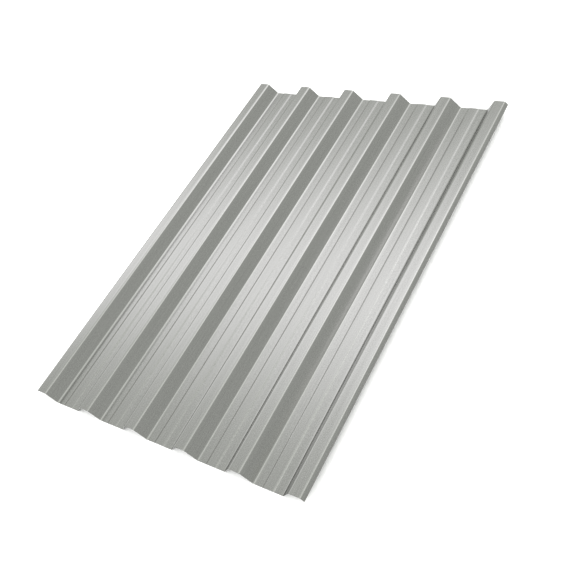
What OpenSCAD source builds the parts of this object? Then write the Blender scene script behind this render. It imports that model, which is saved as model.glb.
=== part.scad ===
// Corrugated metal sheet: one length of roll-formed sheet steel with a trapezoidal profile.
// It lies on its pans, the way it is stacked and laid. X crosses the corrugations, Y runs
// along them and Z is up. The origin is the middle of the underside.

/* [Sheet] */
// Length along the corrugations, as cut to order
length = 1540; // [300:10:6000]
// Thickness of the metal with its coating
thickness = 0.7; // [0.5:0.1:1.5]
// Number of pans, which is one less than the number of crests
pans = 5; // [1:1:6]

/* [Profile] */
// Distance from one crest to the next
pitch = 200; // [180:5:300]
// Height of the whole profile
depth = 44; // [25:1:60]
// Width of a crest between its two fold lines
crest_w = 38; // [25:1:60]
// Width that each sloping web takes up in plan
web_run = 31.5; // [20:0.5:40]
// Inside radius of the folds at crests and pans
fold_r = 10; // [2:0.5:12]
// Width of the lip turned down past each outer crest, measured down its slope
lip_w = 16; // [12:1:30]

/* [Stiffening bead] */
// Width of the raised bead along the middle of each pan, foot to foot
bead_w = 41; // [20:1:46]
// Height of the bead above the pan
bead_h = 1.8; // [1:0.1:4]
// Width that each side of the bead takes up in plan
bead_run = 6; // [4:0.5:8]
// Inside radius of the bead's softer folds
bead_r = 6; // [2:1:6]

/* [Hidden] */

fold_steps = 8; // flats that make up one fold
rise = depth - thickness; // from pan to crest, at the middle of the metal
web_slope = atan2(rise, web_run);
valley_w = pitch - crest_w; // from one crest's fold line to the next crest's
sheet_w = pans * pitch + crest_w; // between the outermost fold lines

// Direction of a heading, and the direction square to it on the upper side
function along(heading) = [cos(heading), sin(heading)];
function above(heading) = [-sin(heading), cos(heading)];
function heading(from, to) = atan2(to[1] - from[1], to[0] - from[0]);

// Corners of the metal's middle line, each as [x, z, inside radius of its fold]
function valley(x) = let (foot = x + web_run, mid = x + valley_w / 2) [
    [x, rise, fold_r],
    [foot, 0, fold_r],
    [mid - bead_w / 2, 0, bead_r],
    [mid - bead_w / 2 + bead_run, bead_h, bead_r],
    [mid + bead_w / 2 - bead_run, bead_h, bead_r],
    [mid + bead_w / 2, 0, bead_r],
    [x + valley_w - web_run, 0, fold_r],
    [x + valley_w, rise, fold_r]
];
function lip_end(x, side) =
    [x + side * lip_w * cos(web_slope), rise - lip_w * sin(web_slope), 0];

corners = concat(
    [lip_end(0, -1), [0, rise, fold_r]],
    [for (k = [0 : pans - 1]) each valley(k * pitch + crest_w)],
    [[sheet_w, rise, fold_r], lip_end(sheet_w, 1)]
);

// One fold: points along its arc, each as [x, z, heading]
function fold(before, corner, after) =
    let (
        start = heading(before, corner),
        turn = heading(corner, after) - start,
        r = corner[2] + thickness / 2,
        side = sign(turn),
        entry = [corner[0], corner[1]] - r * tan(abs(turn) / 2) * along(start),
        centre = entry + side * r * above(start)
    )
    [for (s = [0 : fold_steps])
        let (h = start + turn * s / fold_steps, p = centre - side * r * above(h))
        [p[0], p[1], h]];

last = len(corners) - 1;
stations = concat(
    [[corners[0][0], corners[0][1], heading(corners[0], corners[1])]],
    [for (i = [1 : last - 1]) each fold(corners[i - 1], corners[i], corners[i + 1])],
    [[corners[last][0], corners[last][1], heading(corners[last - 1], corners[last])]]
);

// The metal's upper (+1) or lower (-1) face at one station
function face(s, side) = [s[0], s[1]] + side * thickness / 2 * above(s[2]);

module section() {
    upper = [for (s = stations) face(s, 1)];
    lower = [for (i = [len(stations) - 1 : -1 : 0]) face(stations[i], -1)];
    polygon(concat(upper, lower));
}

// The sheet: its section carried from one cut end to the other
module sheet() {
    color([0.77, 0.78, 0.76])
        translate([-sheet_w / 2, length / 2, thickness / 2])
            rotate([90, 0, 0])
                linear_extrude(length) section();
}

sheet();
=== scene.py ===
import math

import bpy
import numpy as np
from mathutils import Matrix, Vector


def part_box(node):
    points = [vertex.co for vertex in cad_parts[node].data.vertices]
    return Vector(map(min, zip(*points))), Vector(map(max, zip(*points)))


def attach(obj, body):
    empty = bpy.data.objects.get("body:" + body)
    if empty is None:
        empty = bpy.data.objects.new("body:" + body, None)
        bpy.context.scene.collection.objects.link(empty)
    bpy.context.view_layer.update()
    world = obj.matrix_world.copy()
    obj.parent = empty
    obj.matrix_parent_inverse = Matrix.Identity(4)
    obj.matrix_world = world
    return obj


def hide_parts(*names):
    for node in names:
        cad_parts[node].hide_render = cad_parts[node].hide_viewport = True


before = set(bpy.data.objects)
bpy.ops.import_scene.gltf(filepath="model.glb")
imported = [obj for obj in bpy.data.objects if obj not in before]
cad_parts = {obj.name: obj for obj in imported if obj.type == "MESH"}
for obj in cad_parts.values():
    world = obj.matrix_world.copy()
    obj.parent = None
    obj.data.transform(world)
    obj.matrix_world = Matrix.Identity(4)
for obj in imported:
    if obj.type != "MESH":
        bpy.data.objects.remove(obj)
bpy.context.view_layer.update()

# ---- The camera --------------------------------------------------------------
# It looks down on the sheet from beyond its right near corner, and leans over a
# little, so that the sheet runs up and away to the right.

CAMERA_AT = Vector((1.4403, -1.2416, 1.8431))  # metres
CAMERA_HEADING = 51.11     # degrees from +Y towards -X
CAMERA_LOOKS_DOWN = 46.81  # degrees below the horizon
CAMERA_LEAN = 28.31        # degrees, the top of the view leaning to the right
CAMERA_LENS = 47.84        # millimetres


def camera_turn(heading, down, lean):
    """The turn of a camera that starts level along +Y, then leans, looks down and heads left."""
    level = Matrix.Rotation(math.radians(90), 4, "X")
    leaning = Matrix.Rotation(math.radians(-lean), 4, "Z")
    looking = Matrix.Rotation(math.radians(-down), 4, "X")
    heading_left = Matrix.Rotation(math.radians(heading), 4, "Z")
    return heading_left @ looking @ level @ leaning


camera_data = bpy.data.cameras.new("camera")
camera_data.sensor_width = 36.0
camera_data.lens = CAMERA_LENS
camera_data.clip_end = 100.0
camera = bpy.data.objects.new("camera", camera_data)
camera.matrix_world = Matrix.Translation(CAMERA_AT) @ camera_turn(
    CAMERA_HEADING, CAMERA_LOOKS_DOWN, CAMERA_LEAN
)
bpy.context.scene.collection.objects.link(camera)
bpy.context.scene.camera = camera

# ---- The rolled sheet ---------------------------------------------------------
# One length of zinc-coated, painted steel strip, roll-formed cold into crests,
# webs and pans, with a shallow bead along the middle of each pan. A shear cuts it
# square at both ends, and each long edge is a short lip turned down.

METAL = 0.0007       # thickness with its coatings
PITCH = 0.200        # crest to crest
CREST = 0.038        # between a crest's fold lines
WEB_RUN = 0.0315     # a web's width in plan
FOLD = 0.010         # inside radius of the folds
LIP = 0.016          # down the slope
BEAD = 0.041         # foot to foot
BEAD_RISE = 0.0018
BEAD_RUN = 0.006     # a bead side's width in plan
BEAD_FOLD = 0.006

low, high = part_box("sheet")
LENGTH = high.y - low.y
RISE = high.z - low.z - METAL
PANS = int((high.x - low.x) // PITCH)


def fold_lines():
    """Where the middle of the metal would crease: rows of x, z and inside fold radius, lip to lip.

    One pan's eight creases are written once and shifted by whole pitches.
    """
    valley = PITCH - CREST
    foot = valley / 2 - BEAD / 2
    top = foot + BEAD_RUN
    half = [[0, RISE, FOLD], [WEB_RUN, 0, FOLD], [foot, 0, BEAD_FOLD], [top, BEAD_RISE, BEAD_FOLD]]
    left = np.array(half)
    right = left[::-1] * [-1, 1, 1] + [valley, 0, 0]
    pan = np.concatenate([left, right])
    shift = (np.arange(PANS) * PITCH + CREST)[:, None, None] * np.array([1.0, 0, 0])
    pans = (pan + shift).reshape(-1, 3)
    across = PANS * PITCH + CREST
    slope = math.atan2(RISE, WEB_RUN)
    lip_x, lip_z = LIP * math.cos(slope), RISE - LIP * math.sin(slope)
    first = [[-lip_x, lip_z, 0], [0, RISE, FOLD]]
    last = [[across, RISE, FOLD], [across + lip_x, lip_z, 0]]
    creases = np.concatenate([first, pans, last])
    creases[:, 0] -= across / 2
    creases[:, 1] += METAL / 2
    return creases


FLAT_PARTS = np.array([0.02, 0.26, 0.5, 0.74, 0.98])  # where a flat has points, as shares of it
BESIDE_FOLD = 0.1    # a flat is still strained this near its end, as a share of the flat
SLACK_SPREAD = 0.25  # the width of a flat's slack middle, as a share of the flat
FOLD_PARTS = np.linspace(0, 1, 13)  # where an arc has points
SHARPEST_TURN = 0.9  # radians, the turn of a fold that strains its coat fully


def bent_strip(creases):
    """The middle line of the bent metal: x, z, heading, width along the strip, slack and bend.

    Each crease becomes an arc tangent to the flats on both sides: its entry is r tan(turn / 2) before
    the crease, and its points are the centre less r times the upward direction of each heading, with
    r negative where the strip turns down. The flats between arcs are straight. Slack is a bell over
    the middle of each flat. Bend is a fold's share of the sharpest turn, and fades into the flats.
    """
    place, radius = creases[:, :2], creases[1:-1, 2] + METAL / 2
    run = np.diff(place, axis=0)
    heading = np.arctan2(run[:, 1], run[:, 0])
    turn = np.diff(heading)
    side = np.sign(turn)
    back = radius * np.tan(np.abs(turn) / 2)
    ahead = np.stack([np.cos(heading), np.sin(heading)], 1)
    above = np.stack([-np.sin(heading), np.cos(heading)], 1)
    entry = place[1:-1] - back[:, None] * ahead[:-1]
    leave = place[1:-1] + back[:, None] * ahead[1:]
    centre = entry + (side * radius)[:, None] * above[:-1]
    arc_heading = heading[:-1, None] + turn[:, None] * FOLD_PARTS
    arc_above = np.stack([-np.sin(arc_heading), np.cos(arc_heading)], 2)
    arcs = centre[:, None] - (side * radius)[:, None, None] * arc_above
    starts = np.concatenate([place[:1], leave])
    ends = np.concatenate([entry, place[-1:]])
    flats = starts[:, None] + (ends - starts)[:, None] * FLAT_PARTS[None, :, None]
    flat_heading = np.repeat(heading[:, None], len(FLAT_PARTS), 1)
    middle = np.exp(-(((FLAT_PARTS - 0.5) / SLACK_SPREAD) ** 2))
    fold_bend = np.minimum(np.abs(turn) / SHARPEST_TURN, 1)
    near_start = np.concatenate([[0], fold_bend])[:, None] * (FLAT_PARTS < BESIDE_FOLD)
    near_end = np.concatenate([fold_bend, [0]])[:, None] * (FLAT_PARTS > 1 - BESIDE_FOLD)

    def in_order(on_flats, on_arcs, start, end):
        """Values on the flats and arcs in turn, between those of the two lip edges."""
        rows = np.concatenate([on_flats[:-1], on_arcs], 1)
        rows = rows.reshape(-1, *rows.shape[2:])
        return np.concatenate([start, rows, on_flats[-1], end])

    points = in_order(flats, arcs, starts[:1], ends[-1:])
    headings = in_order(flat_heading, arc_heading, heading[:1], heading[-1:])
    slack = in_order(np.tile(middle, (len(turn) + 1, 1)), 0 * arc_heading, [0], [0])
    bend = in_order(near_start + near_end, fold_bend[:, None] + 0 * FOLD_PARTS, [0], [0])
    along = np.concatenate([[0], np.cumsum(np.linalg.norm(np.diff(points, axis=0), axis=1))])
    return points[:, 0], points[:, 1], headings, along, slack, bend


strip_x, strip_z, strip_heading, strip_along, strip_slack, strip_bend = bent_strip(fold_lines())

CUT_STEPS = np.array([0, 0.00012, 0.0004, 0.0015])  # from a cut end
LENGTH_STEPS = 50  # places along the sheet between those


def length_stations():
    """Places along the sheet: a few close together at each cut end, and even steps between them."""
    between = np.linspace(CUT_STEPS[-1], LENGTH - CUT_STEPS[-1], LENGTH_STEPS)
    return low.y + np.concatenate([CUT_STEPS[:-1], between, LENGTH - CUT_STEPS[-2::-1]])


station_y = length_stations()

WAVE = 0.00016         # how far a flat is slack from true
WAVE_LENGTHS = np.array([0.17, 0.29, 0.46, 0.81])
ROLLED_EDGE = 0.00012  # how far the shear draws down the upper face at a cut end


def sheet_grid(seed):
    """The upper and lower faces as grids of points, rows along the length and columns across the strip.

    The strip's middle line is carried straight along Y. Each flat wanders from true by the mean of four
    slow cosines of y with random phase, most in the middle of the flat and not at all at its folds.
    The wander is always towards the middle of the sheet's height, so the outer faces stay true.
    """
    rng = np.random.default_rng(seed)
    flat_starts = (np.diff(strip_slack) > 0) & (strip_slack[:-1] == 0)
    flat_number = np.cumsum(np.concatenate([[0], flat_starts]))
    phase = rng.uniform(0, 2 * np.pi, (int(flat_number.max()) + 1, len(WAVE_LENGTHS)))
    wander = np.cos(2 * np.pi * station_y[:, None, None] / WAVE_LENGTHS + phase).mean(2)
    wander = (0.5 + 0.5 * wander)[:, flat_number] * strip_slack
    inward = np.where(strip_z > high.z / 2, -1.0, 1.0)
    above = np.stack([-np.sin(strip_heading), np.zeros_like(strip_x), np.cos(strip_heading)], 1)
    middle = np.stack(np.broadcast_arrays(strip_x, station_y[:, None], strip_z), 2)
    middle = middle + (WAVE * inward * wander)[:, :, None] * above
    to_end = np.minimum(station_y - low.y, high.y - station_y)
    drawn = ROLLED_EDGE * np.clip(1 - to_end / CUT_STEPS[-2], 0, 1) ** 2
    upper = middle + (METAL / 2 - drawn)[:, None, None] * above
    lower = middle - METAL / 2 * above
    return upper, lower


def sheet_faces(rows, columns):
    """Quads over both grids and round all four cut edges, and the material number of each."""
    top = np.arange(rows * columns).reshape(rows, columns)
    under = top + rows * columns

    def quads(a, b, c, d):
        """One face of four corners for each place in the arrays."""
        return np.stack([a, b, c, d], -1).reshape(-1, 4)

    upper = quads(top[:-1, :-1], top[:-1, 1:], top[1:, 1:], top[1:, :-1])
    lower = quads(under[:-1, :-1], under[1:, :-1], under[1:, 1:], under[:-1, 1:])
    near = quads(under[0, :-1], under[0, 1:], top[0, 1:], top[0, :-1])
    far = quads(under[-1, 1:], under[-1, :-1], top[-1, :-1], top[-1, 1:])
    left = quads(under[1:, 0], under[:-1, 0], top[:-1, 0], top[1:, 0])
    right = quads(under[:-1, -1], under[1:, -1], top[1:, -1], top[:-1, -1])
    cut = np.concatenate([near, far, left, right])
    kind = np.repeat([0, 1, 2], [len(upper), len(lower), len(cut)])
    return np.concatenate([upper, lower, cut]), kind


def add_measure(mesh, name, values):
    """A number at each point of the mesh, for its materials to read by name."""
    measure = mesh.attributes.new(name, "FLOAT", "POINT")
    measure.data.foreach_set("value", values.astype(np.float32).ravel())


def build_sheet():
    """One closed mesh of both grids, and what its finishes follow.

    The UV map "strip" is the width along the strip and the place along its length, in metres. "bend"
    is the strain of the folds, "to_cut" the distance to the nearest cut edge, in metres, and "through"
    runs from 0 at the underside to 1 at the upper face.
    """
    upper, lower = sheet_grid(seed=7)
    shape = upper.shape[:2]
    faces, kind = sheet_faces(*shape)
    points = np.concatenate([upper.reshape(-1, 3), lower.reshape(-1, 3)])
    mesh = bpy.data.meshes.new("sheet_metal")
    mesh.from_pydata(points.tolist(), [], faces.tolist())
    mesh.polygons.foreach_set("material_index", kind)
    mesh.polygons.foreach_set("use_smooth", kind < 2)
    strip = np.stack(np.broadcast_arrays(strip_along, station_y[:, None]), 2).reshape(-1, 2)
    strip_map = mesh.uv_layers.new(name="strip")
    strip_map.data.foreach_set("uv", np.concatenate([strip, strip])[faces.ravel()].ravel())
    to_end = np.minimum(station_y - low.y, high.y - station_y)
    to_side = np.minimum(strip_along, strip_along[-1] - strip_along)
    to_cut = np.minimum(to_end[:, None], to_side)
    add_measure(mesh, "bend", np.broadcast_to(strip_bend, (2, *shape)))
    add_measure(mesh, "to_cut", np.stack([to_cut, to_cut]))
    add_measure(mesh, "through", np.stack([np.ones(shape), np.zeros(shape)]))
    mesh.update()
    return mesh


sheet = bpy.data.objects.new("profiled_sheet", build_sheet())
bpy.context.scene.collection.objects.link(sheet)
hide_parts("sheet")
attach(sheet, "root")

# ---- The silver coat on the upper face ----------------------------------------
# A satin coil paint full of fine aluminium flake, baked on the flat strip before
# rolling. Coating and forming rolls leave faint lengthwise streaks in it, the folds,
# drawn in rolling, are a little glossier, and they carry a painted highlight: the
# coat's colour is lighter along the fold lines. The shear chips its last edge.

SILVER = (0.600, 0.600, 0.588)
SILVER_GLANCING = 0.70   # flakes turn dull at a glancing angle, where bare metal would brighten
SILVER_ROUGHNESS = 0.18
SILVER_SPREAD = 0.50     # how far the darkest and lightest marks stand from the silver, as a share
GLOSS_SPREAD = 0.10      # how much rougher the lightest marks are than the darkest
# Marks in the coat: their size in metres, and their share of the shade or of the relief.
STREAK_WIDTH, STREAK_LENGTH, STREAK_SHARE = 0.0028, 0.30, 0.20
BAND_WIDTH, BAND_LENGTH, BAND_SHARE = 0.008, 1.2, 0.12
CLOUD_SIZE, CLOUD_SHARE = 0.0026, 0.58
FLAKE_SIZE, FLAKE_SHARE = 0.00035, 0.10
PEEL_SIZE, PEEL_RELIEF = 0.0028, 0.4
STREAK_RELIEF = 0.6
RELIEF_DEPTH = 0.00002
FOLD_HIGHLIGHT_TONE = 1.09         # painted highlight: a fold's tone beside the silver's, where its fold lines are strongest
FOLD_HIGHLIGHT_SHARE = 0.6         # how far the coat's colour goes towards that painted highlight
FOLD_POLISH = 0.06       # taken from the roughness there
FOLD_LINE_WIDTH, FOLD_LINE_LENGTH = 0.0011, 0.35
FOLD_LINE_LEVELS = (0.35, 0.70)  # the streak's values where a fold line is faintest and full
FOLD_LINE_FAINTEST = 0.25        # the strain left between the lines
CHIP = 0.00022           # how far the coat is chipped back from a cut
CHIP_GRAIN = 0.0006      # size of the grain that makes the chips ragged
CHIP_FADE = (0.8, 1.1)   # in chips from the cut, where the chipped edge starts and ends
CHIP_DULL = 0.20         # added to the roughness where it is chipped
ZINC = (0.70, 0.70, 0.69)


def add(tree, kind, sockets=None, **settings):
    """A new node. Its settings are properties, and sockets maps inputs to constants or to outputs."""
    node = tree.nodes.new("ShaderNode" + kind)
    for name, value in settings.items():
        setattr(node, name, value)
    for name, value in (sockets or {}).items():
        if isinstance(value, bpy.types.NodeSocket):
            tree.links.new(value, node.inputs[name])
        else:
            node.inputs[name].default_value = value
    return node


def maths(tree, operation, *values):
    """The output of one Math node."""
    return add(tree, "Math", dict(enumerate(values)), operation=operation).outputs[0]


def ramp(tree, value, from_low, from_high, to_low, to_high):
    """The value carried in a smooth step from one range to another."""
    limits = {"From Min": from_low, "From Max": from_high, "To Min": to_low, "To Max": to_high}
    return add(tree, "MapRange", {"Value": value, **limits}, interpolation_type="SMOOTHSTEP").outputs[0]


def blend_colours(tree, share, first, second):
    """A mix of two colours, each a constant or an output."""
    mix = tree.nodes.new("ShaderNodeMix")
    mix.data_type = "RGBA"
    tree.links.new(share, mix.inputs[0])
    for socket, colour in ((mix.inputs[6], first), (mix.inputs[7], second)):
        if isinstance(colour, bpy.types.NodeSocket):
            tree.links.new(colour, socket)
        else:
            socket.default_value = (*colour, 1)
    return mix.outputs[2]


def new_effect(name, takes, gives):
    """An empty node group with named number inputs, and its input and output nodes."""
    effect = bpy.data.node_groups.new(name, "ShaderNodeTree")
    for socket, default in takes.items():
        made = effect.interface.new_socket(name=socket, in_out="INPUT", socket_type="NodeSocketFloat")
        made.default_value = default
    for socket in gives:
        effect.interface.new_socket(name=socket, in_out="OUTPUT", socket_type="NodeSocketFloat")
    return effect, effect.nodes.new("NodeGroupInput"), effect.nodes.new("NodeGroupOutput")


def streaks_group():
    """Streaks: noise over the strip's own width and length, each measured in its own unit."""
    effect, takes, gives = new_effect("roller_streaks", {"Width": 0.004, "Length": 0.6}, ["Streaks"])
    strip = add(effect, "UVMap", uv_map="strip").outputs[0]
    sides = {"X": takes.outputs["Width"], "Y": takes.outputs["Length"], "Z": 1.0}
    unit = add(effect, "CombineXYZ", sides).outputs[0]
    place = add(effect, "VectorMath", {0: strip, 1: unit}, operation="DIVIDE").outputs[0]
    noise = add(effect, "TexNoise", {"Vector": place, "Scale": 1.0, "Detail": 2.0, "Roughness": 0.6})
    effect.links.new(noise.outputs[0], gives.inputs["Streaks"])
    return effect


def grain_group():
    """Grain: noise over the piece's own space, with blotches about as wide as Size."""
    effect, takes, gives = new_effect("grain", {"Size": 0.004}, ["Grain"])
    place = add(effect, "TexCoord").outputs["Object"]
    fineness = maths(effect, "DIVIDE", 1.0, takes.outputs["Size"])
    blotches = {"Vector": place, "Scale": fineness, "Detail": 2.0, "Roughness": 0.5}
    noise = add(effect, "TexNoise", blotches)
    effect.links.new(noise.outputs[0], gives.inputs["Grain"])
    return effect


def wear_group():
    """Strain: the bend of the metal times fine lengthwise lines, from 0 to 1.

    Chips: 1 within Chip of a cut edge and 0 beyond, where a grain of -1 to 1 makes the limit ragged.
    """
    effect, takes, gives = new_effect("strain_and_chips", {"Chip": 0.0002}, ["Strain", "Chips"])
    bend = add(effect, "Attribute", attribute_name="bend").outputs["Fac"]
    to_cut = add(effect, "Attribute", attribute_name="to_cut").outputs["Fac"]
    lines = streaks(effect, FOLD_LINE_WIDTH, FOLD_LINE_LENGTH)
    lines = ramp(effect, lines, *FOLD_LINE_LEVELS, FOLD_LINE_FAINTEST, 1)
    effect.links.new(maths(effect, "MULTIPLY", bend, lines), gives.inputs["Strain"])
    depth = maths(effect, "DIVIDE", to_cut, takes.outputs["Chip"])
    ragged = maths(effect, "MULTIPLY_ADD", grain(effect, CHIP_GRAIN), 2.0, -1.0)
    ragged_depth = maths(effect, "ADD", depth, ragged)
    effect.links.new(ramp(effect, ragged_depth, *CHIP_FADE, 1, 0), gives.inputs["Chips"])
    return effect


streaks_effect = streaks_group()
grain_effect = grain_group()


def streaks(tree, width, length):
    """The roller_streaks effect in a material or in another effect."""
    return add(tree, "Group", {"Width": width, "Length": length}, node_tree=streaks_effect).outputs[0]


def grain(tree, size):
    """The grain effect in a material or in another effect."""
    return add(tree, "Group", {"Size": size}, node_tree=grain_effect).outputs[0]


wear_effect = wear_group()


def silver_coat():
    """Streaks, bands, cloud and flake add up by their shares to one shade, for colour and gloss."""
    made = bpy.data.materials.new("silver_coat")
    made.use_nodes = True
    tree = made.node_tree
    streak = streaks(tree, STREAK_WIDTH, STREAK_LENGTH)
    band = streaks(tree, BAND_WIDTH, BAND_LENGTH)
    cloud = grain(tree, CLOUD_SIZE)
    flake = grain(tree, FLAKE_SIZE)
    peel = grain(tree, PEEL_SIZE)
    wear = add(tree, "Group", {"Chip": CHIP}, node_tree=wear_effect).outputs
    shade = maths(tree, "MULTIPLY", streak, STREAK_SHARE)
    for mark, share in ((band, BAND_SHARE), (cloud, CLOUD_SHARE), (flake, FLAKE_SHARE)):
        shade = maths(tree, "MULTIPLY_ADD", mark, share, shade)
    tones = (1 - SILVER_SPREAD, 1 + SILVER_SPREAD, FOLD_HIGHLIGHT_TONE)
    # dark and light span the coat's random marks; drawn is the painted highlight tone of the folds
    dark, light, drawn = [tuple(part * tone for part in SILVER) for tone in tones]
    colour = blend_colours(tree, shade, dark, light)
    # Painted highlight: the colour is lightened along the fold lines, following the strain mask
    colour = blend_colours(tree, maths(tree, "MULTIPLY", wear["Strain"], FOLD_HIGHLIGHT_SHARE), colour, drawn)
    colour = blend_colours(tree, wear["Chips"], colour, ZINC)
    gloss = maths(tree, "MULTIPLY_ADD", shade, GLOSS_SPREAD, SILVER_ROUGHNESS - GLOSS_SPREAD / 2)
    gloss = maths(tree, "MULTIPLY_ADD", wear["Strain"], -FOLD_POLISH, gloss)
    gloss = maths(tree, "MULTIPLY_ADD", wear["Chips"], CHIP_DULL, gloss)
    relief = maths(tree, "MULTIPLY_ADD", peel, PEEL_RELIEF, band)
    relief = maths(tree, "MULTIPLY_ADD", streak, STREAK_RELIEF, relief)
    rise = {"Height": relief, "Strength": 1.0, "Distance": RELIEF_DEPTH}
    bump = add(tree, "Bump", rise).outputs[0]
    shader = tree.nodes["Principled BSDF"]
    shader.inputs["Metallic"].default_value = 1.0
    shader.inputs["Specular Tint"].default_value = (*[SILVER_GLANCING] * 3, 1)
    tree.links.new(colour, shader.inputs["Base Color"])
    tree.links.new(gloss, shader.inputs["Roughness"])
    tree.links.new(bump, shader.inputs["Normal"])
    return made


sheet.data.materials.append(silver_coat())

# ---- The backing coat on the underside ----------------------------------------
# A thinner light grey paint, semi-matt, that keeps the zinc on the hidden face
# from staining in the stack. The same rolls streak it, and the folds dull it.

BACKING_DARK = (0.33, 0.335, 0.325)
BACKING_LIGHT = (0.63, 0.635, 0.62)
BACKING_DRAWN = (0.60, 0.60, 0.59)
BACKING_DRAWN_SHARE = 0.5    # how far a fold goes towards that colour
BACKING_ROUGHNESS = 0.36
BACKING_GLOSS_SPREAD = 0.16  # how much rougher the lightest marks are than the darkest
BACKING_FOLD_DULL = 0.08     # added to the roughness where a fold is drawn most
BACKING_SPECULAR = 0.45
BACKING_STREAK_WIDTH, BACKING_STREAK_LENGTH, BACKING_STREAK_SHARE = 0.005, 0.9, 0.40
BACKING_BAND_WIDTH, BACKING_BAND_LENGTH, BACKING_BAND_SHARE = 0.045, 3.0, 0.35
BACKING_CLOUD_SIZE, BACKING_CLOUD_SHARE = 0.009, 0.25
BACKING_STREAK_RELIEF = 0.6
BACKING_RELIEF_DEPTH = 0.00003
BACKING_CHIP = 0.0003


def backing_coat():
    """Light grey paint, thin enough for the roll's streaks to show as lighter and darker bands."""
    made = bpy.data.materials.new("backing_coat")
    made.use_nodes = True
    tree = made.node_tree
    streak = streaks(tree, BACKING_STREAK_WIDTH, BACKING_STREAK_LENGTH)
    band = streaks(tree, BACKING_BAND_WIDTH, BACKING_BAND_LENGTH)
    cloud = grain(tree, BACKING_CLOUD_SIZE)
    wear = add(tree, "Group", {"Chip": BACKING_CHIP}, node_tree=wear_effect).outputs
    shade = maths(tree, "MULTIPLY", streak, BACKING_STREAK_SHARE)
    shade = maths(tree, "MULTIPLY_ADD", band, BACKING_BAND_SHARE, shade)
    shade = maths(tree, "MULTIPLY_ADD", cloud, BACKING_CLOUD_SHARE, shade)
    drawn = maths(tree, "MULTIPLY", wear["Strain"], BACKING_DRAWN_SHARE)
    colour = blend_colours(tree, shade, BACKING_DARK, BACKING_LIGHT)
    colour = blend_colours(tree, drawn, colour, BACKING_DRAWN)
    colour = blend_colours(tree, wear["Chips"], colour, ZINC)
    gloss = maths(tree, "MULTIPLY_ADD", wear["Strain"], BACKING_FOLD_DULL, BACKING_ROUGHNESS)
    gloss = maths(tree, "MULTIPLY_ADD", shade, BACKING_GLOSS_SPREAD, gloss)
    relief = maths(tree, "MULTIPLY_ADD", streak, BACKING_STREAK_RELIEF, cloud)
    rise = {"Height": relief, "Strength": 1.0, "Distance": BACKING_RELIEF_DEPTH}
    bump = add(tree, "Bump", rise).outputs[0]
    shader = tree.nodes["Principled BSDF"]
    shader.inputs["Specular IOR Level"].default_value = BACKING_SPECULAR
    tree.links.new(colour, shader.inputs["Base Color"])
    tree.links.new(gloss, shader.inputs["Roughness"])
    tree.links.new(wear["Chips"], shader.inputs["Metallic"])
    tree.links.new(bump, shader.inputs["Normal"])
    return made


sheet.data.materials.append(backing_coat())

# ---- The cut edges -------------------------------------------------------------
# Bare steel left by the shear and the slitter: the blade burnishes the upper part
# and the rest tears, and the zinc and paint show as a bright line at each face.

STEEL_BURNISHED = (0.62, 0.61, 0.60)
STEEL_TORN = (0.33, 0.325, 0.32)
BURNISHED_FROM = 0.6     # share of the thickness, from the underside
COATS_FROM = 0.93        # the upper face's coats, from here up
COATS_TO = 0.06          # the underside's coats, up to here
COATS_BLUR = 0.02        # a coat's line fades over this much to each side
BURNISH_BLUR = 0.06
BURNISH_WANDER = 0.3     # how far the scratches pull the burnished band up and down
STRIATION = 0.00012      # width of one scratch of the blade
STRIATION_LENGTH = 0.7   # in thicknesses
STRIATION_DEPTH = 0.00003
TORN_DARKEST = 0.7       # the deepest of the torn steel, beside its tone
TORN_ROUGHNESS = 0.5
SCRATCH_DULL = 0.1       # added to the roughness by a scratch
BURNISH_POLISH = 0.26    # taken from it where burnished


def cut_steel():
    """Burnished and torn bands by the share through the thickness, scored by scratches along it."""
    made = bpy.data.materials.new("cut_steel")
    made.use_nodes = True
    tree = made.node_tree
    through = add(tree, "Attribute", attribute_name="through").outputs["Fac"]
    strip = add(tree, "UVMap", uv_map="strip").outputs[0]
    either_way = {0: strip, 1: (1, 1, 0)}
    round_edge = add(tree, "VectorMath", either_way, operation="DOT_PRODUCT").outputs["Value"]
    across = maths(tree, "DIVIDE", round_edge, STRIATION)
    down = maths(tree, "DIVIDE", through, STRIATION_LENGTH)
    place = add(tree, "CombineXYZ", {"X": across, "Y": down}).outputs[0]
    scratches = add(tree, "TexNoise", {"Vector": place, "Scale": 1.0, "Detail": 2.0}).outputs[0]
    wander = maths(tree, "MULTIPLY_ADD", scratches, BURNISH_WANDER, -BURNISH_WANDER / 2)
    ragged = maths(tree, "ADD", through, wander)
    burnished = ramp(tree, ragged, BURNISHED_FROM - BURNISH_BLUR, BURNISHED_FROM + BURNISH_BLUR, 0, 1)
    top_coats = ramp(tree, through, COATS_FROM - COATS_BLUR, COATS_FROM + COATS_BLUR, 0, 1)
    under_coats = ramp(tree, through, COATS_TO - COATS_BLUR, COATS_TO + COATS_BLUR, 1, 0)
    coats = maths(tree, "ADD", top_coats, under_coats)
    deepest = tuple(part * TORN_DARKEST for part in STEEL_TORN)
    torn = blend_colours(tree, scratches, deepest, STEEL_BURNISHED)
    colour = blend_colours(tree, burnished, torn, STEEL_BURNISHED)
    colour = blend_colours(tree, coats, colour, ZINC)
    gloss = maths(tree, "MULTIPLY_ADD", scratches, SCRATCH_DULL, TORN_ROUGHNESS)
    gloss = maths(tree, "MULTIPLY_ADD", burnished, -BURNISH_POLISH, gloss)
    rise = {"Height": scratches, "Strength": 0.6, "Distance": STRIATION_DEPTH}
    bump = add(tree, "Bump", rise).outputs[0]
    shader = tree.nodes["Principled BSDF"]
    shader.inputs["Metallic"].default_value = 1.0
    tree.links.new(colour, shader.inputs["Base Color"])
    tree.links.new(gloss, shader.inputs["Roughness"])
    tree.links.new(bump, shader.inputs["Normal"])
    return made


sheet.data.materials.append(cut_steel())

# ---- The floor and the light --------------------------------------------------
# A plain pale studio floor under soft even light, darker low on the right. Two long
# soft strips of light lie crosswise, one beyond the sheet and one behind the camera,
# and a broad light above reaches only matt things such as the floor.

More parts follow.
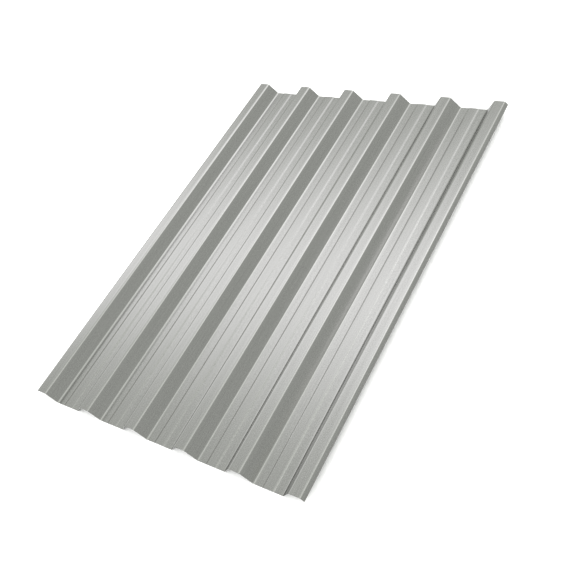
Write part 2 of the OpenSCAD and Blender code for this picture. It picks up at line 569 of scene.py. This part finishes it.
FLOOR_HALF = 30.0
FLOOR_GAP = 0.0002    # the floor lies this far under the sheet
FLOOR_ROUGHNESS = 0.9
FLOOR_PAINT = (0.93, 0.93, 0.93)
FLOOR_IN_METAL = (0.45, 0.45, 0.45)  # how pale the floor is where the metal mirrors it
STRIP_DOWN = 32.3     # degrees from straight up to a strip's middle
STRIP_SPREAD = 18.0   # degrees from its middle to where its light has faded out
STRIP_LEFT = (-85.0, -46.0)  # degrees, leaning left of straight up, where its left end fades in
STRIP_RIGHT = (20.0, 48.0)   # leaning right, where its right end fades out
STRIP_SHINE = 0.64
STRIP_TINT = (1.028, 1.0, 1.057, 1)
SKY = 0.525
SKY_TINT = (0.975, 1.0, 0.948, 1)
SKY_FAR = 0.05        # added in the far direction
SKY_TOP = 0.36        # added in a broad band near the top, along the length of the sheet
TOP_LEAN = 20.0       # degrees, how far this band's middle leans right of straight up
TOP_SPREAD = 25.0     # degrees to each side, where it has faded out
NEAR_SHINE = 0.15     # added overhead, short of the strip
NEAR_DOWN = (18.0, 30.0)     # degrees from straight up, where it fades out towards the strip
NEAR_LEFT = (-27.0, -13.0)   # degrees, leaning left, where it fades in
NEAR_RIGHT = (-13.0, 24.0)   # where it fades out again
SKY_RIGHT = -0.10     # added low on the right
RIGHT_FROM = (25.0, 70.0)    # degrees, leaning right, where that sets in and is full
FILL_LIGHT = 3.6      # watts a square metre on the floor
FILL_SPREAD = 130.0   # degrees across


def studio_floor():
    """A flat square just under the sheet, which looks paler to the camera than in the metal."""
    mesh = bpy.data.meshes.new("floor")
    far = FLOOR_HALF
    corners = [(-far, -far, 0), (far, -far, 0), (far, far, 0), (-far, far, 0)]
    mesh.from_pydata(corners, [], [(0, 1, 2, 3)])
    paint = bpy.data.materials.new("floor_paint")
    paint.use_nodes = True
    tree = paint.node_tree
    shader = tree.nodes["Principled BSDF"]
    shader.inputs["Roughness"].default_value = FLOOR_ROUGHNESS
    shader.inputs["Specular IOR Level"].default_value = 0.0
    mirrored = add(tree, "LightPath").outputs["Is Glossy Ray"]
    colour = blend_colours(tree, mirrored, FLOOR_PAINT, FLOOR_IN_METAL)
    tree.links.new(colour, shader.inputs["Base Color"])
    mesh.materials.append(paint)
    floor = bpy.data.objects.new("floor", mesh)
    floor.location.z = low.z - FLOOR_GAP
    bpy.context.scene.collection.objects.link(floor)
    return floor


def studio_sky():
    """Soft light by direction: sky + top + near + strip, and white where the camera sees it directly.

    The strip fades smoothly with the angle atan2(|y|, z) away from its middle, and with the sideways
    angle atan2(x, z) at its two ends. The sky grows with y and falls off low on the right. Top is a
    smooth band round one sideways angle, and near is a patch of it that fades before the strip.
    """
    world = bpy.data.worlds.new("studio")
    world.use_nodes = True
    tree = world.node_tree
    tree.nodes.clear()

    def fade(angle, starts, ends, at_start, at_end):
        """The light's strength carried from one value to another between two angles in degrees."""
        return ramp(tree, angle, math.radians(starts), math.radians(ends), at_start, at_end)

    direction = add(tree, "TexCoord").outputs["Generated"]
    x, y, z = add(tree, "SeparateXYZ", {0: direction}).outputs
    beyond = maths(tree, "ARCTAN2", maths(tree, "ABSOLUTE", y), z)
    from_strip = maths(tree, "ABSOLUTE", maths(tree, "SUBTRACT", beyond, math.radians(STRIP_DOWN)))
    sideways = maths(tree, "ARCTAN2", x, z)
    left_end, right_end = fade(sideways, *STRIP_LEFT, 0, 1), fade(sideways, *STRIP_RIGHT, 1, 0)
    strip = maths(tree, "MULTIPLY", left_end, right_end)
    strip = maths(tree, "MULTIPLY", fade(from_strip, 0, STRIP_SPREAD, STRIP_SHINE, 0), strip)
    from_top = maths(tree, "ABSOLUTE", maths(tree, "SUBTRACT", sideways, math.radians(TOP_LEAN)))
    top = fade(from_top, 0, TOP_SPREAD, SKY_TOP, 0)
    near = maths(tree, "MULTIPLY", fade(sideways, *NEAR_LEFT, 0, 1), fade(sideways, *NEAR_RIGHT, 1, 0))
    near = maths(tree, "MULTIPLY", near, fade(beyond, *NEAR_DOWN, NEAR_SHINE, 0))
    sky = maths(tree, "MULTIPLY_ADD", y, SKY_FAR, fade(sideways, *RIGHT_FROM, SKY, SKY + SKY_RIGHT))
    sky = maths(tree, "ADD", sky, maths(tree, "ADD", top, near))
    sky_light = add(tree, "Background", {"Color": SKY_TINT, "Strength": sky})
    strip_light = add(tree, "Background", {"Color": STRIP_TINT, "Strength": strip})
    both = add(tree, "AddShader", {0: sky_light.outputs[0], 1: strip_light.outputs[0]})
    white = add(tree, "Background", {"Color": (1, 1, 1, 1), "Strength": 1.0})
    seen = add(tree, "LightPath").outputs["Is Camera Ray"]
    by_ray = add(tree, "MixShader", {0: seen, 1: both.outputs[0], 2: white.outputs[0]})
    add(tree, "OutputWorld", {"Surface": by_ray.outputs[0]})
    bpy.context.scene.world = world


studio_floor()
studio_sky()
fill_data = bpy.data.lights.new("fill_light", "SUN")
fill_data.energy = FILL_LIGHT
fill_data.angle = math.radians(FILL_SPREAD)
fill = bpy.data.objects.new("fill_light", fill_data)
fill.visible_glossy = False
bpy.context.scene.collection.objects.link(fill)

bpy.context.scene.view_settings.view_transform = "Standard"
